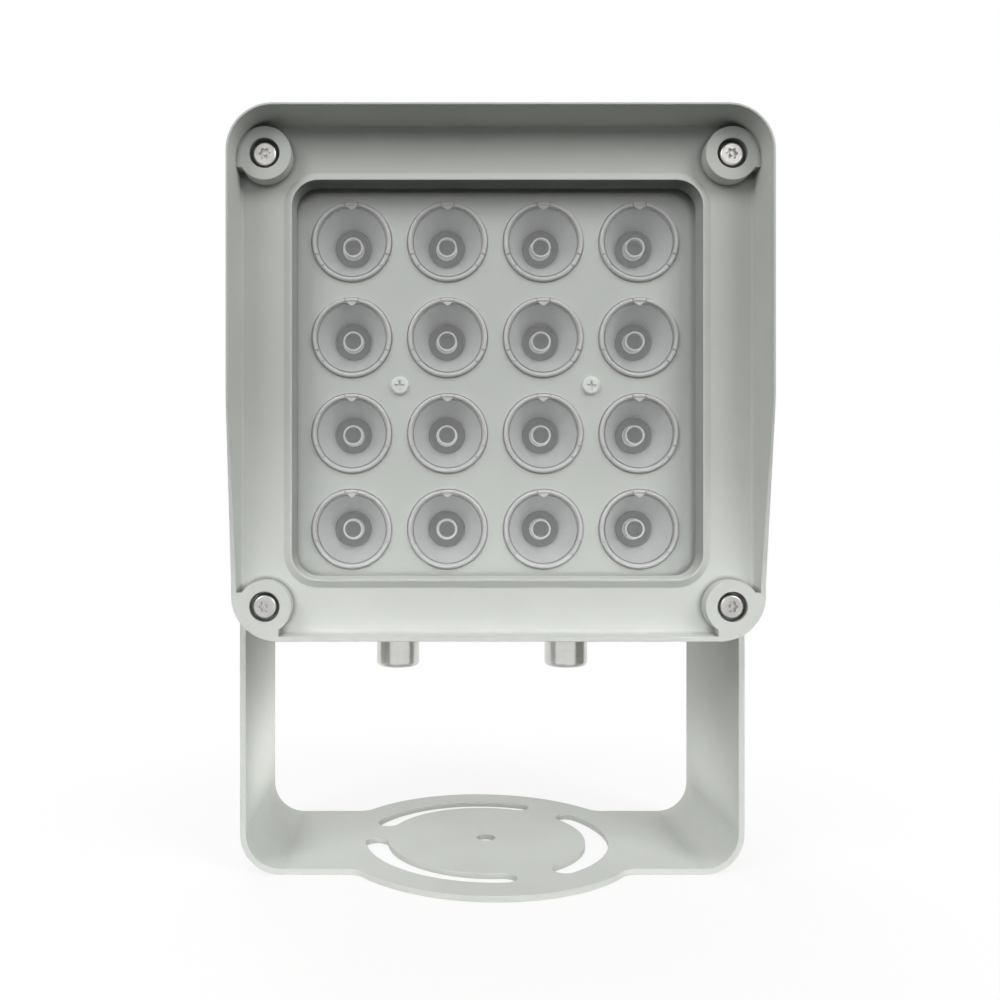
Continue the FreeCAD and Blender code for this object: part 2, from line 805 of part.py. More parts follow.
def housing_holes():
    holes = [connector_room(1.0)]
    frame_screw_end = rim_front + screw_well_depth - screw_head_height + screw_length
    for x, z in screw_places():
        holes.append(rod_along_y(screw_shank_radius + thread_clearance, x, grid_height + z,
                                 flange_front, frame_screw_end + 1.0))
    for x, z in plate_screw_places():
        holes.append(rod_along_y(plate_screw_radius + thread_clearance, x, z, spreader_front,
                                 plate_front - plate_screw_head_height + plate_screw_length + 0.5))
    for x, z in cover_screw_places():
        holes.append(rod_along_y(cover_screw_radius + thread_clearance, x, z,
                                 driver_box_back - cover_screw_length, driver_box_back))
    for side in (-1, 1):
        holes.append(rod_along_x(pivot_bolt_radius + thread_clearance, side,
                                 pad_face - pivot_thread_depth, pad_face))
        holes.append(rod_along_x(lock_screw_radius + thread_clearance, side,
                                 pad_face - lock_thread_depth, pad_face, 0.0, pivot_height + lock_circle))
        holes.append(Part.makeCylinder(gland_thread_radius + thread_clearance, driver_box_floor + 1.0,
                                       Vec(side * gland_column, gland_depth, box_bottom)))
    return holes


def cover_gasket():
    width = 2 * driver_box_half_width
    whole = slab(width, driver_box_height, driver_box_round, driver_box_back, cover_front, box_middle)
    ring = slab_ring(width, driver_box_height, driver_box_round, driver_box_wall, driver_box_back, cover_front,
                     box_middle)
    eyes = [rod_along_y(cover_post_radius, x, z, driver_box_back, cover_front).common(whole)
            for x, z in cover_screw_places()]
    holes = [rod_along_y(cover_screw_radius + hole_clearance, x, z, driver_box_back, cover_front)
             for x, z in cover_screw_places()]
    return fused([ring] + eyes).cut(holes)


def rear_cover():
    lid = slab(2 * driver_box_half_width, driver_box_height, driver_box_round, cover_front,
               cover_front + cover_thickness, box_middle)
    holes = [rod_along_y(cover_screw_radius + hole_clearance, x, z, cover_front, cover_front + cover_thickness)
             for x, z in cover_screw_places()]
    return lid.cut(holes)


def cover_screws():
    head = cover_screw_head_radius
    rise = cover_screw_head_height * 0.6
    edge = cover_screw_head_height - rise
    first = turned_back([(0, 0), (head, 0), (head, edge), dome(head, edge, rise)])
    first = first.fuse(rod_along_y(cover_screw_radius, 0, 0, -cover_screw_length, 0))
    screws = []
    for x, z in cover_screw_places():
        screw = first.copy()
        screw.translate(Vec(x, cover_front + cover_thickness, z))
        screws.append(screw)
    return Part.makeCompound(screws)


# Driver

def driver_board():
    return block(-driver_board_width / 2, driver_board_front, driver_board_middle - driver_board_height / 2,
                 driver_board_width, board_thickness, driver_board_height)


def board_connector():
    return connector_room(0.0)


def driver_parts():
    back = driver_board_front + board_thickness
    middle = driver_board_middle
    x, z = transformer_place
    parts = [block(x, back, middle + z, *transformer_size)]
    for x, z in capacitor_places:
        parts.append(rod_along_y(capacitor_radius, x, middle + z, back, back + capacitor_length))
    x, z = choke_place
    parts.append(rod_along_y(choke_radius, x, middle + z, back, back + choke_length))
    return Part.makeCompound(parts)


def terminal_block():
    width, depth, height = terminal_size
    low = driver_board_middle - driver_board_height / 2 + terminal_inset
    front = driver_board_front + board_thickness
    body = block(-width / 2, front, low, width, depth, height)
    holes = []
    for i in (-1, 0, 1):
        x = i * width / 3
        holes.append(Part.makeCylinder(terminal_hole_radius, height * 0.7, Vec(x, front + depth / 2, low)))
    return body.cut(holes)


# Cable glands, hanging from the driver compartment's floor

def gland_body():
    thread = turned([(gland_bore_radius, -gland_hex_height), (gland_thread_radius, -gland_hex_height),
                     (gland_thread_radius, gland_thread_length), (gland_bore_radius, gland_thread_length)])
    collar = hexagon(gland_hex_flats, -gland_hex_height, 0).cut(
        Part.makeCylinder(gland_bore_radius, gland_hex_height, Vec(0, 0, -gland_hex_height)))
    end = -gland_hex_height - gland_spigot_length
    seat = end + gland_seal_length
    spigot = turned([(gland_spigot_bore_radius, end), (gland_spigot_radius, end),
                     (gland_spigot_radius, -gland_hex_height), (gland_bore_radius, -gland_hex_height),
                     (gland_bore_radius, seat), (gland_spigot_bore_radius, seat)])
    return fused([thread, collar, spigot])


def gland_seal():
    end = -gland_hex_height - gland_spigot_length
    return turned([(gland_cable_radius, end), (gland_spigot_bore_radius - gland_fit, end),
                   (gland_spigot_bore_radius - gland_fit, end + gland_seal_length),
                   (gland_cable_radius, end + gland_seal_length)])


# Dome nut: plain round outside with a rounded lower edge
def gland_nut():
    top = -gland_hex_height
    low = top - gland_nut_length
    inner = gland_spigot_radius + gland_fit
    r = gland_nut_round
    floor = low + gland_nut_lip
    k = r * (1 - math.sqrt(0.5))
    return turned([
        (gland_nut_bore_radius, low), (gland_nut_radius - r, low),
        ((gland_nut_radius - k, low + k), (gland_nut_radius, low + r)),
        (gland_nut_radius, top), (inner, top),
        (inner, top - gland_spigot_length - 0.2),
        (gland_nut_bore_radius, floor)])


def at_gland(piece, side):
    piece.translate(Vec(side * gland_column, gland_depth, box_bottom))
    return piece


# Tilt fastening

# Screws along X with the head outside; built on the right side and turned round for the left
def on_side(piece, side, y=0.0, z=0.0):
    piece.rotate(ORIGIN, BACK, 90 * side)
    piece.translate(Vec(side * leg_outside, y, pivot_height + z))
    return piece


def pivot_bolts():
    bolts = []
    length = leg_outside - pad_face + pivot_thread_depth
    for side in (-1, 1):
        shank = Part.makeCylinder(pivot_bolt_radius, length, Vec(0, 0, -length))
        flange = Part.makeCylinder(pivot_flange_radius, pivot_flange_thickness)
        head = hexagon(pivot_head_flats, 0, pivot_flange_thickness + pivot_head_height)
        bolts.append(on_side(fused([shank, flange, head]), side))
    return Part.makeCompound(bolts)


def lock_screws():
    screws = []
    length = leg_outside - pad_face + lock_thread_depth
    top = lock_flange_thickness + lock_head_height
    for side in (-1, 1):
        shank = Part.makeCylinder(lock_screw_radius, length, Vec(0, 0, -length))
        flange = Part.makeCylinder(lock_flange_radius, lock_flange_thickness)
        head = Part.makeCylinder(lock_head_radius, top)
        screw = fused([shank, flange, head]).cut(hexagon(lock_socket_flats, top - lock_socket_depth, top + 1.0))
        screws.append(on_side(screw, side, 0.0, lock_circle))
    return Part.makeCompound(screws)


def tilt_pads():
    pads = []
    for side in (-1, 1):
        disc = rod_along_x(tilt_pad_radius - 1.0, side, pad_face, leg_inside)
        pivot = rod_along_x(pivot_bolt_radius + hole_clearance, side, pad_face, leg_inside)
        lock = rod_along_x(lock_screw_radius + hole_clearance, side, pad_face, leg_inside,
                           0.0, pivot_height + lock_circle)
        pads.append(disc.cut([pivot, lock]))
    return Part.makeCompound(pads)


def all_pieces():
    pieces = {
        "bracket": bracket(),
        "front_frame": front_frame(),
        "frame_screws": frame_screws(),
        "front_glass": front_glass(),
        "glass_seal": glass_seal(),
        "housing_gasket": housing_gasket(),
        "lens_plate": lens_plate(),
        "plate_screws": plate_screws(),
        "led_board": led_board(),
        "leds": leds(),
        "thermal_pad": thermal_pad(),
        "rear_housing": rear_housing(),
        "cover_gasket": cover_gasket(),
        "rear_cover": rear_cover(),
        "cover_screws": cover_screws(),
        "driver_board": driver_board(),
        "driver_parts": driver_parts(),
        "terminal_block": terminal_block(),
        "board_connector": board_connector(),
        "pivot_bolts": pivot_bolts(),
        "lock_screws": lock_screws(),
        "tilt_pads": tilt_pads(),
    }
    for side, name in ((-1, "left"), (1, "right")):
        pieces["gland_body_" + name] = at_gland(gland_body(), side)
        pieces["gland_seal_" + name] = at_gland(gland_seal(), side)
        pieces["gland_nut_" + name] = at_gland(gland_nut(), side)
    first_holder = lens_holder()
    first_lens = lens()
    for index, (x, z) in enumerate(grid_places()):
        place = "%d%d" % (index // lens_count + 1, index % lens_count + 1)
        for name, first in (("lens_holder_", first_holder), ("lens_", first_lens)):
            copy = first.copy()
            copy.translate(Vec(x, 0, z))
            pieces[name + place] = copy
    return pieces


os.makedirs("parts", exist_ok=True)
for name, shape in all_pieces().items():
    shape.exportStep("parts/" + name + ".step")
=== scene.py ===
import math
import bpy
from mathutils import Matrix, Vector

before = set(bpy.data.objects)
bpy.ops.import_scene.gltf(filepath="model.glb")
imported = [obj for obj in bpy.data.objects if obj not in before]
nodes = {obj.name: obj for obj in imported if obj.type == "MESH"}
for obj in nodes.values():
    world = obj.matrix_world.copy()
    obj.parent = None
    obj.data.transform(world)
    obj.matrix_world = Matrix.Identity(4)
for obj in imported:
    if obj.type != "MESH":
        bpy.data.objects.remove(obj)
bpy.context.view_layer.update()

gridPlaces = ["%d%d" % (row, column) for row in range(1, 5) for column in range(1, 5)]
print("frame loaded:", len(nodes), "nodes")


# sRGB hex to the linear values that Blender's sockets take
def toLinear(hexColour):
    channels = [int(hexColour[i:i + 2], 16) / 255 for i in (1, 3, 5)]
    return [c / 12.92 if c <= 0.04045 else ((c + 0.055) / 1.055) ** 2.4 for c in channels] + [1.0]


# adds one node with its settings; an input is a value, a socket, or a node whose first output is linked
def addNode(tree, kind, settings=None, inputs=None):
    node = tree.nodes.new(kind)
    for name, value in (settings or {}).items():
        if name == "stops":      # a colour ramp's positions and colours
            while len(node.color_ramp.elements) < len(value):
                node.color_ramp.elements.new(0.5)
            for element, (position, colour) in zip(node.color_ramp.elements, value):
                element.position = position
                element.color = toLinear(colour) if isinstance(colour, str) else [colour] * 3 + [1.0]
        else:
            setattr(node, name, value)
    for name, value in (inputs or {}).items():
        if isinstance(value, bpy.types.Node):
            value = value.outputs[0]
        if isinstance(value, bpy.types.NodeSocket):
            tree.links.new(value, node.inputs[name])
        else:
            node.inputs[name].default_value = value
    return node


# an empty material and the object coordinates, in metres, that its patterns lie in
def newMaterial(name):
    material = bpy.data.materials.new(name)
    material.use_nodes = True
    tree = material.node_tree
    tree.nodes.clear()
    return material, tree, addNode(tree, "ShaderNodeTexCoord").outputs["Object"]


# a colour that drifts between a recipe's dark and light tones; softness is half the width of the change
def addDrift(tree, where, recipe, softness=0.15):
    noise = addNode(tree, "ShaderNodeTexNoise", inputs={
        "Vector": where, "Scale": 1000 / recipe["driftMm"], "Detail": 3})
    return addNode(tree, "ShaderNodeValToRGB", {
        "stops": [(0.5 - softness, recipe["dark"]), (0.5 + softness, recipe["light"])]}, {"Fac": noise})


def giveMaterial(material, *names):
    for name in names:
        nodes[name].data.materials.clear()
        nodes[name].data.materials.append(material)


# polyester powder coat, sprayed and baked on: an even satin light grey with a fine orange peel
powderCoat = {
    "light": "#D2D5D0",
    "dark": "#CDD0CB",
    "driftMm": 45,
    "roughness": 0.62,
    "roughnessSwing": 0.06,
    "cloudMm": 9,             # patches of duller and shinier coat
    "ior": 1.5,
    "specular": 0.2,          # a matte texture, so little mirror-like shine is left
    "orangePeelMm": 1.6,      # real orange peel is 0.5 to 2 mm between crests
    "orangePeelDepth": 0.02,
    "grainMm": 0.7,           # powder grain is nearer 0.1 mm, drawn coarser so that it shows
    "grainDepth": 0.006,
    "rubbed": "#DDDFDB",      # where hands and cloths have polished the edges
    "rubbedShare": 0.35,
    "rubbedTurn": (0.99, 0.85),   # cosine from flat to rounded normal where the rubbing starts and is full
    "castEdgeMm": 0.5,
    "sheetEdgeMm": 0.35,
    "castCornerShadeMm": 3.0,      # painted shade: the coat colour is darkened in tight inner corners, where shade falls
    "sheetCornerShadeMm": 40,      # painted shade over a wider reach, darkening the sheet near its bends and between the legs
    "paintedCornerShadeTone": "#77797A",
    "paintedCornerShadeShare": 0.75,
    "paintedCornerShadeOpen": (0.88, 0.45),   # open share of the space around where the painted corner shade starts and is full
    "openingMiddleMm": (0, -66.6, 208.6),     # the window opening, whose walls get painted shade
    "openingHalfMm": (82.3, 3.5, 80.0),
    "openingShadeTone": "#3A3A3A",
    "openingShadeShare": 0.36,     # painted shade on the side walls; the upper wall, which faces down, has twice as much, the lower none
    "wallLean": -0.4,         # what faces the front more than this is lip and no wall
}


# painted shade on the walls of the window opening, darkest on the upper wall, which faces down
def addOpeningShade(tree, where, recipe):
    middle, half = [[mm / 1000 for mm in recipe[key]] for key in ("openingMiddleMm", "openingHalfMm")]
    off = addNode(tree, "ShaderNodeVectorMath", {"operation": "SUBTRACT"}, {0: where, 1: middle})
    away = addNode(tree, "ShaderNodeVectorMath", {"operation": "ABSOLUTE"}, {0: off})
    share = addNode(tree, "ShaderNodeVectorMath", {"operation": "DIVIDE"}, {0: away, 1: half})
    axes = addNode(tree, "ShaderNodeSeparateXYZ", inputs={0: share}).outputs
    across = addNode(tree, "ShaderNodeMath", {"operation": "MAXIMUM"}, {0: axes["X"], 1: axes["Z"]})
    widest = addNode(tree, "ShaderNodeMath", {"operation": "MAXIMUM"}, {0: across, 1: axes["Y"]})
    inside = addNode(tree, "ShaderNodeMath", {"operation": "LESS_THAN"}, {0: widest, 1: 1.0})
    normal = addNode(tree, "ShaderNodeTexCoord").outputs["Normal"]
    facing = addNode(tree, "ShaderNodeSeparateXYZ", inputs={0: normal}).outputs
    isWall = addNode(tree, "ShaderNodeMath", {"operation": "GREATER_THAN"}, {
        0: facing["Y"], 1: recipe["wallLean"]})
    onWall = addNode(tree, "ShaderNodeMath", {"operation": "MULTIPLY"}, {0: inside, 1: isWall})
    shade = addNode(tree, "ShaderNodeMath", {"operation": "MULTIPLY_ADD"}, {
        0: facing["Z"], 1: -recipe["openingShadeShare"], 2: recipe["openingShadeShare"]})
    return addNode(tree, "ShaderNodeMath", {"operation": "MULTIPLY"}, {0: shade, 1: onWall})


def makePowderCoat(name, recipe, edgeMm, cornerShadeMm, alone):
    material, tree, where = newMaterial(name)
    colour = addDrift(tree, where, recipe)
    rounded = addNode(tree, "ShaderNodeBevel", {"samples": 4}, {"Radius": edgeMm / 1000})
    flat = addNode(tree, "ShaderNodeNewGeometry").outputs["Normal"]
    turn = addNode(tree, "ShaderNodeVectorMath", {"operation": "DOT_PRODUCT"}, {0: rounded, 1: flat})
    starts, full = recipe["rubbedTurn"]
    onEdge = addNode(tree, "ShaderNodeMapRange", inputs={
        "Value": turn.outputs["Value"], "From Min": starts, "From Max": full,
        "To Max": recipe["rubbedShare"]})
    worn = addNode(tree, "ShaderNodeMix", {"data_type": "RGBA"}, {
        "Factor": onEdge, "A": colour, "B": toLinear(recipe["rubbed"])})
    # painted shade: the coat gets darker where little open space is around it, in corners and near bends
    cornerOcclusion = addNode(tree, "ShaderNodeAmbientOcclusion", {"samples": 8, "only_local": alone}, {
        "Distance": cornerShadeMm / 1000})
    starts, full = recipe["paintedCornerShadeOpen"]
    inCornerShade = addNode(tree, "ShaderNodeMapRange", inputs={
        "Value": cornerOcclusion.outputs["AO"], "From Min": starts, "From Max": full, "To Max": recipe["paintedCornerShadeShare"]})
    coat = addNode(tree, "ShaderNodeMix", {"data_type": "RGBA"}, {
        "Factor": inCornerShade, "A": worn.outputs["Result"], "B": toLinear(recipe["paintedCornerShadeTone"])})
    # painted shade on the walls of the window opening
    shaded = addNode(tree, "ShaderNodeMix", {"data_type": "RGBA"}, {
        "Factor": addOpeningShade(tree, where, recipe), "A": coat.outputs["Result"],
        "B": toLinear(recipe["openingShadeTone"])})
    peelNoise = addNode(tree, "ShaderNodeTexNoise", inputs={
        "Vector": where, "Scale": 1000 / recipe["orangePeelMm"], "Detail": 1})
    peel = addNode(tree, "ShaderNodeBump", inputs={
        "Height": peelNoise, "Normal": rounded, "Strength": 1.0,
        "Distance": recipe["orangePeelDepth"] / 1000})
    grainNoise = addNode(tree, "ShaderNodeTexNoise", inputs={
        "Vector": where, "Scale": 1000 / recipe["grainMm"], "Detail": 2})
    grain = addNode(tree, "ShaderNodeBump", inputs={
        "Height": grainNoise, "Normal": peel, "Strength": 1.0, "Distance": recipe["grainDepth"] / 1000})
    cloud = addNode(tree, "ShaderNodeTexNoise", inputs={
        "Vector": where, "Scale": 1000 / recipe["cloudMm"], "Detail": 3})
    rough = addNode(tree, "ShaderNodeMapRange", inputs={
        "Value": cloud, "To Min": recipe["roughness"] - recipe["roughnessSwing"],
        "To Max": recipe["roughness"] + recipe["roughnessSwing"]})
    shader = addNode(tree, "ShaderNodeBsdfPrincipled", inputs={
        "Base Color": shaded.outputs["Result"], "Roughness": rough, "IOR": recipe["ior"], "Normal": grain,
        "Specular IOR Level": recipe["specular"]})
    addNode(tree, "ShaderNodeOutputMaterial", inputs={"Surface": shader})
    return material


castingPaint = makePowderCoat(
    "castingPowderCoat", powderCoat, powderCoat["castEdgeMm"], powderCoat["castCornerShadeMm"], False)
sheetPaint = makePowderCoat(
    "sheetSteelPowderCoat", powderCoat, powderCoat["sheetEdgeMm"], powderCoat["sheetCornerShadeMm"], True)
giveMaterial(castingPaint, "front_frame", "rear_housing", "rear_cover")
giveMaterial(sheetPaint, "bracket")
print("paint done")


# toughened float glass: flat and clear, a trace of wiped dust in its shine
windowGlass = {
    "tint": "#FBFCFB",
    "ior": 1.52,
    "cleanRoughness": 0.0,
    "dustRoughness": 0.04,
    "dustMm": 30,
    "dustLevels": (0.45, 0.75),   # of the noise, where the dust starts and is full
}


def makeWindowGlass(recipe):
    material, tree, where = newMaterial("toughenedGlass")
    dust = addNode(tree, "ShaderNodeTexNoise", inputs={
        "Vector": where, "Scale": 1000 / recipe["dustMm"], "Detail": 6})
    starts, full = recipe["dustLevels"]
    rough = addNode(tree, "ShaderNodeMapRange", inputs={
        "Value": dust, "From Min": starts, "From Max": full,
        "To Min": recipe["cleanRoughness"], "To Max": recipe["dustRoughness"]})
    tint = toLinear(recipe["tint"])
    glass = addNode(tree, "ShaderNodeBsdfPrincipled", inputs={
        "Base Color": tint, "Roughness": rough, "IOR": recipe["ior"], "Transmission Weight": 1.0})
    passing = addNode(tree, "ShaderNodeBsdfTransparent", inputs={"Color": tint})
    # light goes straight through to what is behind
    path = addNode(tree, "ShaderNodeLightPath")
    light = addNode(tree, "ShaderNodeMath", {"operation": "MAXIMUM"}, {
        0: path.outputs["Is Shadow Ray"], 1: path.outputs["Is Diffuse Ray"]})
    both = addNode(tree, "ShaderNodeMixShader", inputs={0: light, 1: glass, 2: passing})
    addNode(tree, "ShaderNodeOutputMaterial", inputs={"Surface": both})
    return material


# acrylic, injection moulded and polished: water clear, with a painted highlight as a bright frosted ring
# round the pocket over the LED, and painted shade on its tail and outer edge
lensAcrylic = {
    "tint": "#FCFDFD",
    "ior": 1.49,
    "roughness": 0.06,
    "flowMm": 6,                       # faint waves from the flow in the mould
    "flowDepth": 0.05,
    "flowShare": 0.3,
    "pitchMm": 39.4,                   # the lenses stand on a square grid
    "gridHeightMm": 207.8,             # with its middle at this height
    "shinesBeforeMm": -57.8,           # the flat front face; the sides only let light through
    "rimHighlightMm": (3.2, 3.45, 4.4, 4.6),    # from its middle: the painted highlight ring starts, is full, fades and ends
    "rampMm": 8,                       # the length of the colour ramp that draws it
    # painted highlight: the bright ring where the edge of the pocket catches light
    "rimHighlightTone": "#F6F7F6",
    "frostBehindMm": -47.2,            # behind this the tail of the lens is frosted and painted dark grey, as painted shade at the bottom of the cup
    "frostRoughness": 0.5,
    # painted shade: the dark grey of the shaded bottom of the cup
    "tailShadeTone": "#555555",
    "tailShadeShare": 0.75,
    "edgeMm": 13.9,                    # painted shade: a dark band at the outer edge, for the shadow in the gap inside the holder ring
    "edgeShadeTone": "#8A8A8A",
    "edgeShadeShare": 0.8,
    "haze": 0.07,                      # the bulk of the lens scatters a little light
    "hazeTone": "#F0EEF0",
}


def makeLensAcrylic(recipe):
    material, tree, where = newMaterial("mouldedAcrylic")
    pitch = recipe["pitchMm"] / 1000
    fromGrid = addNode(tree, "ShaderNodeVectorMath", {"operation": "SUBTRACT"}, {
        0: where, 1: (0, 0, recipe["gridHeightMm"] / 1000)})
    cell = addNode(tree, "ShaderNodeVectorMath", {"operation": "WRAP"}, {
        0: fromGrid, 1: (pitch, 1, pitch), 2: (0, -1, 0)})
    fromAxis = addNode(tree, "ShaderNodeVectorMath", {"operation": "MULTIPLY_ADD"}, {
        0: cell, 1: (1, 0, 1), 2: (-pitch / 2, 0, -pitch / 2)})
    radius = addNode(tree, "ShaderNodeVectorMath", {"operation": "LENGTH"}, {0: fromAxis}).outputs["Value"]
    along = addNode(tree, "ShaderNodeMath", {"operation": "MULTIPLY"}, {
        0: radius, 1: 1000 / recipe["rampMm"]})
    start, full, fade, end = [mm / recipe["rampMm"] for mm in recipe["rimHighlightMm"]]
    onRimHighlight = addNode(tree, "ShaderNodeValToRGB", {"stops": [
        (0, 0.0), (start, 0.0), (full, 1.0), (fade, 1.0), (end, 0.0), (1, 0.0)]}, {"Fac": along})
    depth = addNode(tree, "ShaderNodeSeparateXYZ", inputs={0: where}).outputs["Y"]
    atTail = addNode(tree, "ShaderNodeMath", {"operation": "GREATER_THAN"}, {
        0: depth, 1: recipe["frostBehindMm"] / 1000})
    atFront = addNode(tree, "ShaderNodeMath", {"operation": "LESS_THAN"}, {
        0: depth, 1: recipe["shinesBeforeMm"] / 1000})
    inTailShade = addNode(tree, "ShaderNodeMath", {"operation": "MULTIPLY"}, {0: atTail, 1: recipe["tailShadeShare"]})
    behind = addNode(tree, "ShaderNodeMath", {"operation": "SUBTRACT"}, {0: 1.0, 1: atFront})
    inRimHighlight = addNode(tree, "ShaderNodeMath", {"operation": "MULTIPLY"}, {0: onRimHighlight, 1: behind})
    atEdgeShade = addNode(tree, "ShaderNodeMath", {"operation": "GREATER_THAN"}, {
        0: radius, 1: recipe["edgeMm"] / 1000})
    inEdgeShade = addNode(tree, "ShaderNodeMath", {"operation": "MULTIPLY"}, {0: atEdgeShade, 1: recipe["edgeShadeShare"]})
    paintedBehind = addNode(tree, "ShaderNodeMath", {"operation": "MAXIMUM"}, {0: inTailShade, 1: inRimHighlight})
    paintedLightShare = addNode(tree, "ShaderNodeMath", {"operation": "MAXIMUM"}, {0: paintedBehind, 1: inEdgeShade})
    flow = addNode(tree, "ShaderNodeTexNoise", inputs={
        "Vector": where, "Scale": 1000 / recipe["flowMm"], "Detail": 3})
    waves = addNode(tree, "ShaderNodeBump", inputs={
        "Height": flow, "Strength": recipe["flowShare"], "Distance": recipe["flowDepth"] / 1000})
    clear = addNode(tree, "ShaderNodeBsdfTransparent", inputs={"Color": toLinear(recipe["tint"])})
    shine = addNode(tree, "ShaderNodeBsdfGlossy", inputs={"Roughness": recipe["roughness"], "Normal": waves})
    facing = addNode(tree, "ShaderNodeFresnel", inputs={"IOR": recipe["ior"]})
    shining = addNode(tree, "ShaderNodeMath", {"operation": "MULTIPLY"}, {0: facing, 1: atFront})
    milk = addNode(tree, "ShaderNodeBsdfDiffuse", inputs={"Color": toLinear(recipe["hazeTone"])})
    bulk = addNode(tree, "ShaderNodeMixShader", inputs={0: recipe["haze"], 1: clear, 2: milk})
    lensBody = addNode(tree, "ShaderNodeMixShader", inputs={0: shining, 1: bulk, 2: shine})
    tone = addNode(tree, "ShaderNodeMix", {"data_type": "RGBA"}, {
        "Factor": onRimHighlight, "A": toLinear(recipe["tailShadeTone"]), "B": toLinear(recipe["rimHighlightTone"])})
    edgeShaded = addNode(tree, "ShaderNodeMix", {"data_type": "RGBA"}, {
        "Factor": atEdgeShade, "A": tone.outputs["Result"], "B": toLinear(recipe["edgeShadeTone"])})
    # painted highlight ring and painted shade on the tail and outer edge, as a frosted surface
    paintedLightFrost = addNode(tree, "ShaderNodeBsdfPrincipled", inputs={
        "Base Color": edgeShaded.outputs["Result"], "Roughness": recipe["frostRoughness"], "IOR": recipe["ior"]})
    both = addNode(tree, "ShaderNodeMixShader", inputs={0: paintedLightShare, 1: lensBody, 2: paintedLightFrost})
    path = addNode(tree, "ShaderNodeLightPath")
    passed = addNode(tree, "ShaderNodeMixShader", inputs={
        0: path.outputs["Is Shadow Ray"], 1: both, 2: clear})
    addNode(tree, "ShaderNodeOutputMaterial", inputs={"Surface": passed})
    return material


giveMaterial(makeWindowGlass(windowGlass), "front_glass")
giveMaterial(makeLensAcrylic(lensAcrylic), *["lens_" + place for place in gridPlaces])
print("clear parts done")


# what all moulded, printed and rubber finishes share
mouldingFinish = {
    "edgeMm": 0.2,
    "roughnessSwing": 0.05,
    "ior": 1.5,
}

# one recipe for each plain moulded, printed or rubber finish: tones, drift, roughness and surface texture
mouldings = {
    # ABS plate from a spark-eroded mould: dull and even
    "erodedAbs": {"light": "#CFD1CE", "dark": "#CACCC9", "driftMm": 40, "roughness": 0.55,
                  "textureMm": 1.2, "depth": 0.015, "pieces": ["lens_plate"]},
    # glass-filled PBT holder from a polished mould: soft shine; the cup is painted lighter than the ring in
    # front, as painted light for what the lens gathers into it
    "glassFilledPbt": {"light": "#EAE7E9", "dark": "#E4E1E3", "driftMm": 14, "roughness": 0.33,
                       "frontTone": "#D3D0D2", "frontMm": -57.8, "textureMm": 3.0, "depth": 0.01,
                       "pieces": ["lens_holder_" + place for place in gridPlaces]},
    # epoxy LED package, transfer moulded: dark grey, smooth
    "epoxyPackage": {"light": "#232222", "dark": "#1C1B1B", "driftMm": 3, "roughness": 0.35,
                     "textureMm": 0.8, "depth": 0.01, "pieces": ["leds"]},
    # solder mask over an aluminium core, screen printed: even, slightly glossy
    "solderMask": {"light": "#555554", "dark": "#4D4D4C", "driftMm": 12, "roughness": 0.4,
                   "textureMm": 2.0, "depth": 0.01, "pieces": ["led_board"]},
    # silicone filled with alumina, calendered: dull grey and soft
    "filledSilicone": {"light": "#7D858C", "dark": "#6F777E", "driftMm": 8, "roughness": 0.8,
                       "textureMm": 1.5, "depth": 0.03, "pieces": ["thermal_pad"]},
    # silicone rubber, moulded: matte black with a dusty bloom
    "siliconeRubber": {"light": "#2B2B2B", "dark": "#1F1F1F", "driftMm": 10, "roughness": 0.75,
                       "textureMm": 1.0, "depth": 0.03,
                       "pieces": ["glass_seal", "housing_gasket", "cover_gasket", "gland_seal_left",
                                  "gland_seal_right"]},
    # glass-epoxy board with a green mask, screen printed
    "greenMask": {"light": "#1E5A33", "dark": "#174A29", "driftMm": 6, "roughness": 0.35,
                  "textureMm": 1.0, "depth": 0.01, "pieces": ["driver_board"]},
    # shrink sleeve and varnish on the wound parts
    "sleevedParts": {"light": "#26262B", "dark": "#1A1A1E", "driftMm": 5, "roughness": 0.45,
                     "textureMm": 1.5, "depth": 0.03, "pieces": ["driver_parts"]},
    # polyamide terminal block, moulded
    "polyamideBlock": {"light": "#2C7A48", "dark": "#256A3E", "driftMm": 7, "roughness": 0.5,
                       "textureMm": 1.2, "depth": 0.02, "pieces": ["terminal_block"]},
    # natural nylon, moulded: milky and slightly waxy
    "naturalNylon": {"light": "#DAD6C8", "dark": "#D0CCBE", "driftMm": 8, "roughness": 0.48,
                     "textureMm": 2.0, "depth": 0.02, "pieces": ["tilt_pads", "board_connector"]},
    # white lacquer on small steel screws, baked: glossy
    "whiteLacquer": {"light": "#F0F1EF", "dark": "#E8E9E7", "driftMm": 3, "roughness": 0.3,
                     "textureMm": 1.0, "depth": 0.01, "pieces": ["plate_screws"]},
}


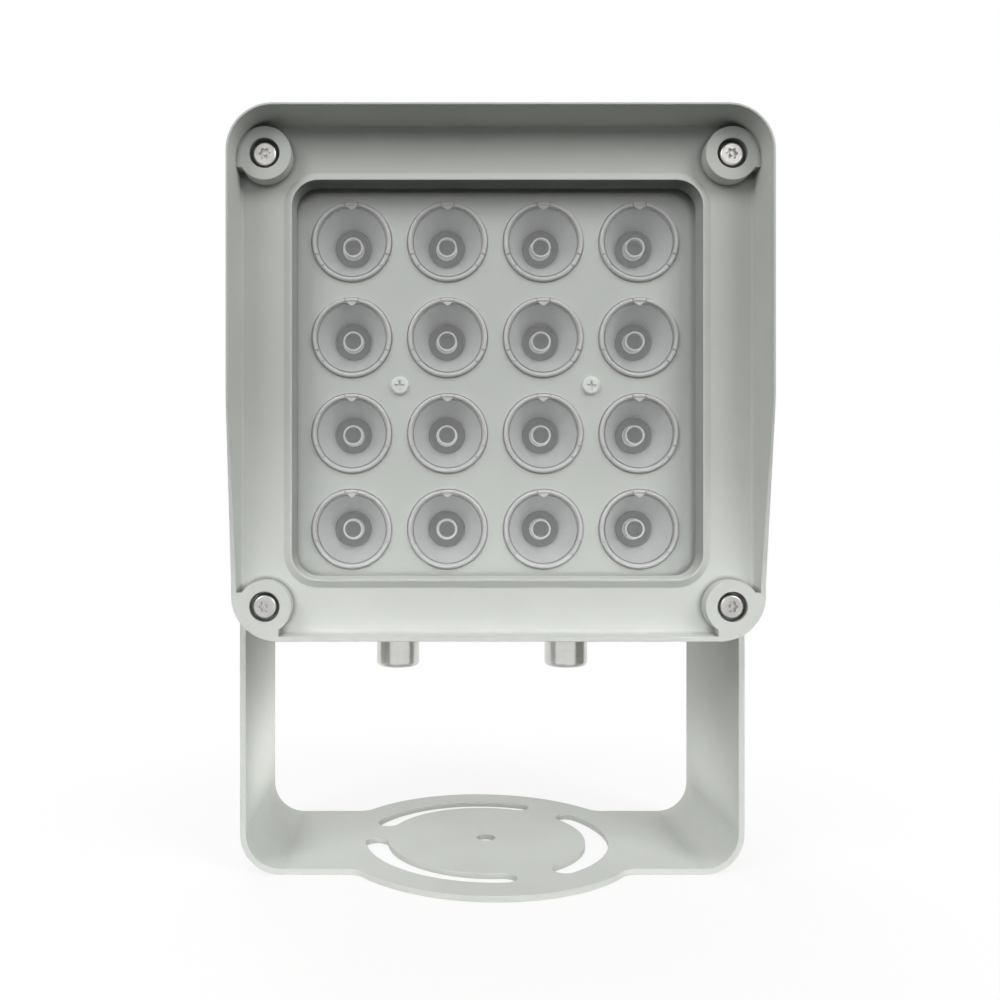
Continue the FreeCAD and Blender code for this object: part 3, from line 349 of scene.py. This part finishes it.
def makeMoulding(name, recipe):
    material, tree, where = newMaterial(name)
    colour = addDrift(tree, where, recipe)
    # the ring in front keeps a greyer tone; the lighter cup colour is painted light
    if "frontTone" in recipe:
        depth = addNode(tree, "ShaderNodeSeparateXYZ", inputs={0: where}).outputs["Y"]
        inFront = addNode(tree, "ShaderNodeMath", {"operation": "LESS_THAN"}, {
            0: depth, 1: recipe["frontMm"] / 1000})
        colour = addNode(tree, "ShaderNodeMix", {"data_type": "RGBA"}, {
            "Factor": inFront, "A": colour, "B": toLinear(recipe["frontTone"])}).outputs["Result"]
    rounded = addNode(tree, "ShaderNodeBevel", {"samples": 3}, {"Radius": mouldingFinish["edgeMm"] / 1000})
    skin = addNode(tree, "ShaderNodeTexNoise", inputs={
        "Vector": where, "Scale": 1000 / recipe["textureMm"], "Detail": 3})
    texture = addNode(tree, "ShaderNodeBump", inputs={
        "Height": skin, "Normal": rounded, "Strength": 1.0, "Distance": recipe["depth"] / 1000})
    cloud = addNode(tree, "ShaderNodeTexNoise", inputs={
        "Vector": where, "Scale": 2000 / recipe["driftMm"], "Detail": 3})
    swing = mouldingFinish["roughnessSwing"]
    rough = addNode(tree, "ShaderNodeMapRange", inputs={
        "Value": cloud, "To Min": recipe["roughness"] - swing, "To Max": recipe["roughness"] + swing})
    shader = addNode(tree, "ShaderNodeBsdfPrincipled", inputs={
        "Base Color": colour, "Roughness": rough, "IOR": mouldingFinish["ior"], "Normal": texture})
    addNode(tree, "ShaderNodeOutputMaterial", inputs={"Surface": shader})
    return material


for name, recipe in mouldings.items():
    giveMaterial(makeMoulding(name, recipe), *recipe["pieces"])
print("mouldings done")


# what both metals share
metalFinish = {
    "edgeMm": 0.2,
    "driftSoftness": 0.2,
    "roughnessSwing": (-0.04, 0.06),
    "markShare": 0.4,
    "markDepth": 0.01,
}

metals = {
    # A2 stainless steel, cold headed and tumbled: grey, softly bright
    "stainlessSteel": {"light": "#CDCCC9", "dark": "#BAB9B6", "driftMm": 6, "roughness": 0.3, "marksMm": 0.8,
                       "pieces": ["frame_screws", "cover_screws", "pivot_bolts", "lock_screws"]},
    # brass turned and nickel plated: warm bright mirror with faint tool marks
    "nickelledBrass": {"light": "#D6D5D2", "dark": "#CAC9C6", "driftMm": 6, "roughness": 0.22,
                       "marksMm": 0.6, "pieces": [
                           "gland_body_left", "gland_body_right", "gland_nut_left", "gland_nut_right"]},
}


def makeMetal(name, recipe):
    material, tree, where = newMaterial(name)
    marks = addNode(tree, "ShaderNodeTexNoise", inputs={
        "Vector": where, "Scale": 1000 / recipe["marksMm"], "Detail": 2})
    colour = addDrift(tree, where, recipe, metalFinish["driftSoftness"])
    least, most = [recipe["roughness"] + swing for swing in metalFinish["roughnessSwing"]]
    rough = addNode(tree, "ShaderNodeMapRange", inputs={"Value": marks, "To Min": least, "To Max": most})
    rounded = addNode(tree, "ShaderNodeBevel", {"samples": 4}, {"Radius": metalFinish["edgeMm"] / 1000})
    bump = addNode(tree, "ShaderNodeBump", inputs={
        "Height": marks, "Normal": rounded, "Strength": metalFinish["markShare"],
        "Distance": metalFinish["markDepth"] / 1000})
    shader = addNode(tree, "ShaderNodeBsdfPrincipled", inputs={
        "Base Color": colour, "Metallic": 1.0, "Roughness": rough, "Normal": bump})
    addNode(tree, "ShaderNodeOutputMaterial", inputs={"Surface": shader})
    return material


for name, recipe in metals.items():
    giveMaterial(makeMetal(name, recipe), *recipe["pieces"])
print("metal done")


# floor and sky of the studio; the camera, mirrors and glass see them white
studio = {
    "floorSize": 8.0,
    "nearColour": "#F0F0EE",      # what the floor throws back on the object from behind its front
    "farColour": "#303130",       # and from in front of it and further off
    "nearMiddle": (0, 0.3, 0),
    "nearTo": 0.34,
    "farFrom": 0.44,
    "floorBelow": 0.0002,         # the foot stands on it
    "shadowColour": "#F4F5F3",
    "shadowShare": 0.2,           # how much of its own shade the floor shows near the foot
    "whiteFrom": 0.12,            # from here on less of it, and past the next distance none
    "whiteTo": 0.3,
    "skyEven": 0.45,              # light from all sides
    "skyTop": 0.24,               # more of it from above
    "skyLean": (0.05, -0.8, 0),   # and from the front
    "skyLeast": 0.05,
    "reflected": 0.9,             # how bright the metals see the sky
}

# soft boxes; one that mirrors and glass don't see leaves no bright patch in the window
lamps = [
    {"name": "leftLamp", "at": (-0.85, -0.95, 0.95), "size": (0.7, 0.9), "aim": (0, 0, 0.12), "watts": 6.5,
     "spread": 180, "inMirrors": True},
    {"name": "rightLamp", "at": (0.85, -0.95, 0.95), "size": (0.7, 0.9), "aim": (0, 0, 0.12), "watts": 8.0,
     "spread": 180, "inMirrors": True},
    {"name": "lowLamp", "at": (0, -0.5, 0.05), "size": (0.5, 0.06), "aim": (0, 0, 0.08), "watts": 0.09,
     "spread": 36, "inMirrors": False},
    {"name": "backLamp", "at": (-0.4, 1.4, 1.7), "size": (1.2, 1.2), "aim": (0, 0, 0.2), "watts": 12.0,
     "spread": 180, "inMirrors": True},
    # two small bright cards between the legs, one for the inner face of each
    {"name": "leftCard", "at": (-0.03, 0.03, 0.022), "size": (0.12, 0.03), "aim": (-0.5, 0.03, 0.175),
     "watts": 0.014, "spread": 70, "inMirrors": False},
    {"name": "rightCard", "at": (0.03, 0.03, 0.022), "size": (0.12, 0.03), "aim": (0.5, 0.03, 0.09),
     "watts": 0.0045, "spread": 60, "inMirrors": False},
]


def makeFloor(recipe):
    bpy.ops.mesh.primitive_plane_add(size=recipe["floorSize"], location=(0, 0, -recipe["floorBelow"]))
    floor = bpy.context.object
    floor.name = "floor"
    material, tree, where = newMaterial("paintedFloor")
    away = addNode(tree, "ShaderNodeVectorMath", {"operation": "LENGTH"}, {0: where}).outputs["Value"]
    whiteness = addNode(tree, "ShaderNodeMapRange", {"interpolation_type": "SMOOTHSTEP"}, {
        "Value": away, "From Min": recipe["whiteFrom"], "From Max": recipe["whiteTo"],
        "To Min": 1 - recipe["shadowShare"], "To Max": 1.0})
    white = addNode(tree, "ShaderNodeEmission", inputs={"Color": (1, 1, 1, 1), "Strength": 1.0})
    shade = addNode(tree, "ShaderNodeBsdfDiffuse", inputs={"Color": toLinear(recipe["shadowColour"])})
    shown = addNode(tree, "ShaderNodeMixShader", inputs={0: whiteness, 1: shade, 2: white})
    fromMiddle = addNode(tree, "ShaderNodeVectorMath", {"operation": "DISTANCE"}, {
        0: where, 1: recipe["nearMiddle"]})
    fading = addNode(tree, "ShaderNodeMapRange", {"interpolation_type": "SMOOTHSTEP"}, {
        "Value": fromMiddle.outputs["Value"], "From Min": recipe["nearTo"], "From Max": recipe["farFrom"]})
    ground = addNode(tree, "ShaderNodeMix", {"data_type": "RGBA"}, {
        "Factor": fading, "A": toLinear(recipe["nearColour"]), "B": toLinear(recipe["farColour"])})
    own = addNode(tree, "ShaderNodeBsdfDiffuse", inputs={"Color": ground.outputs["Result"]})
    path = addNode(tree, "ShaderNodeLightPath")
    mirrored = addNode(tree, "ShaderNodeMath", {"operation": "MAXIMUM"}, {
        0: path.outputs["Is Glossy Ray"], 1: path.outputs["Is Transmission Ray"]})
    seen = addNode(tree, "ShaderNodeMath", {"operation": "MAXIMUM"}, {
        0: path.outputs["Is Camera Ray"], 1: mirrored})
    surface = addNode(tree, "ShaderNodeMixShader", inputs={0: seen, 1: own, 2: shown})
    addNode(tree, "ShaderNodeOutputMaterial", inputs={"Surface": surface})
    floor.data.materials.append(material)


def makeSky(recipe):
    world = bpy.data.worlds.new("studioSky")
    bpy.context.scene.world = world
    world.use_nodes = True
    tree = world.node_tree
    tree.nodes.clear()
    direction = addNode(tree, "ShaderNodeTexCoord").outputs["Generated"]
    height = addNode(tree, "ShaderNodeSeparateXYZ", inputs={0: direction}).outputs["Z"]
    lean = addNode(tree, "ShaderNodeVectorMath", {"operation": "DOT_PRODUCT"}, {
        0: direction, 1: recipe["skyLean"]}).outputs["Value"]
    leaning = addNode(tree, "ShaderNodeMath", {"operation": "ADD"}, {0: lean, 1: 1.0})
    above = addNode(tree, "ShaderNodeMath", {"operation": "MULTIPLY"}, {0: leaning, 1: height})
    level = addNode(tree, "ShaderNodeMath", {"operation": "MULTIPLY_ADD"}, {
        0: above, 1: recipe["skyTop"], 2: recipe["skyEven"]})
    upward = addNode(tree, "ShaderNodeMath", {"operation": "MAXIMUM"}, {0: level, 1: recipe["skyLeast"]})
    path = addNode(tree, "ShaderNodeLightPath")
    mirrored = addNode(tree, "ShaderNodeMix", inputs={
        "Factor": path.outputs["Is Glossy Ray"], "A": upward, "B": recipe["reflected"]})
    plain = addNode(tree, "ShaderNodeMath", {"operation": "MAXIMUM"}, {
        0: path.outputs["Is Camera Ray"], 1: path.outputs["Is Transmission Ray"]})
    strength = addNode(tree, "ShaderNodeMix", inputs={"Factor": plain, "A": mirrored, "B": 1.0})
    back = addNode(tree, "ShaderNodeBackground", inputs={"Color": (1, 1, 1, 1), "Strength": strength})
    addNode(tree, "ShaderNodeOutputWorld", inputs={"Surface": back})


def makeLamp(recipe):
    data = bpy.data.lights.new(recipe["name"], "AREA")
    data.shape = "RECTANGLE"
    data.size, data.size_y = recipe["size"]
    data.energy = recipe["watts"]
    data.spread = math.radians(recipe["spread"])
    lamp = bpy.data.objects.new(recipe["name"], data)
    lamp.location = recipe["at"]
    lamp.rotation_mode = "QUATERNION"
    lamp.rotation_quaternion = (Vector(recipe["aim"]) - Vector(recipe["at"])).to_track_quat("-Z", "Y")
    lamp.visible_camera = False
    lamp.visible_glossy = recipe["inMirrors"]
    lamp.visible_transmission = recipe["inMirrors"]
    bpy.context.scene.collection.objects.link(lamp)


makeFloor(studio)
makeSky(studio)
for lamp in lamps:
    makeLamp(lamp)
print("room done")


# solved from the photo: level, a little left of the middle, and shifted
photoCamera = {
    "at": (-0.0298, -0.4528, 0.1525),
    "lensMm": 34.47,
    "sensorMm": 36.0,
    "shiftX": 0.077,
    "shiftY": 0.020,
    "clipStart": 0.01,
    "clipEnd": 50.0,
}
cameraData = bpy.data.cameras.new("photoCamera")
cameraData.sensor_width = photoCamera["sensorMm"]
cameraData.lens = photoCamera["lensMm"]
cameraData.shift_x = photoCamera["shiftX"]
cameraData.shift_y = photoCamera["shiftY"]
cameraData.clip_start = photoCamera["clipStart"]
cameraData.clip_end = photoCamera["clipEnd"]
camera = bpy.data.objects.new("photoCamera", cameraData)
camera.location = photoCamera["at"]
camera.rotation_euler = (math.radians(90), 0, 0)
bpy.context.scene.collection.objects.link(camera)
bpy.context.scene.camera = camera
bpy.context.scene.view_settings.view_transform = "Standard"
print("camera done")
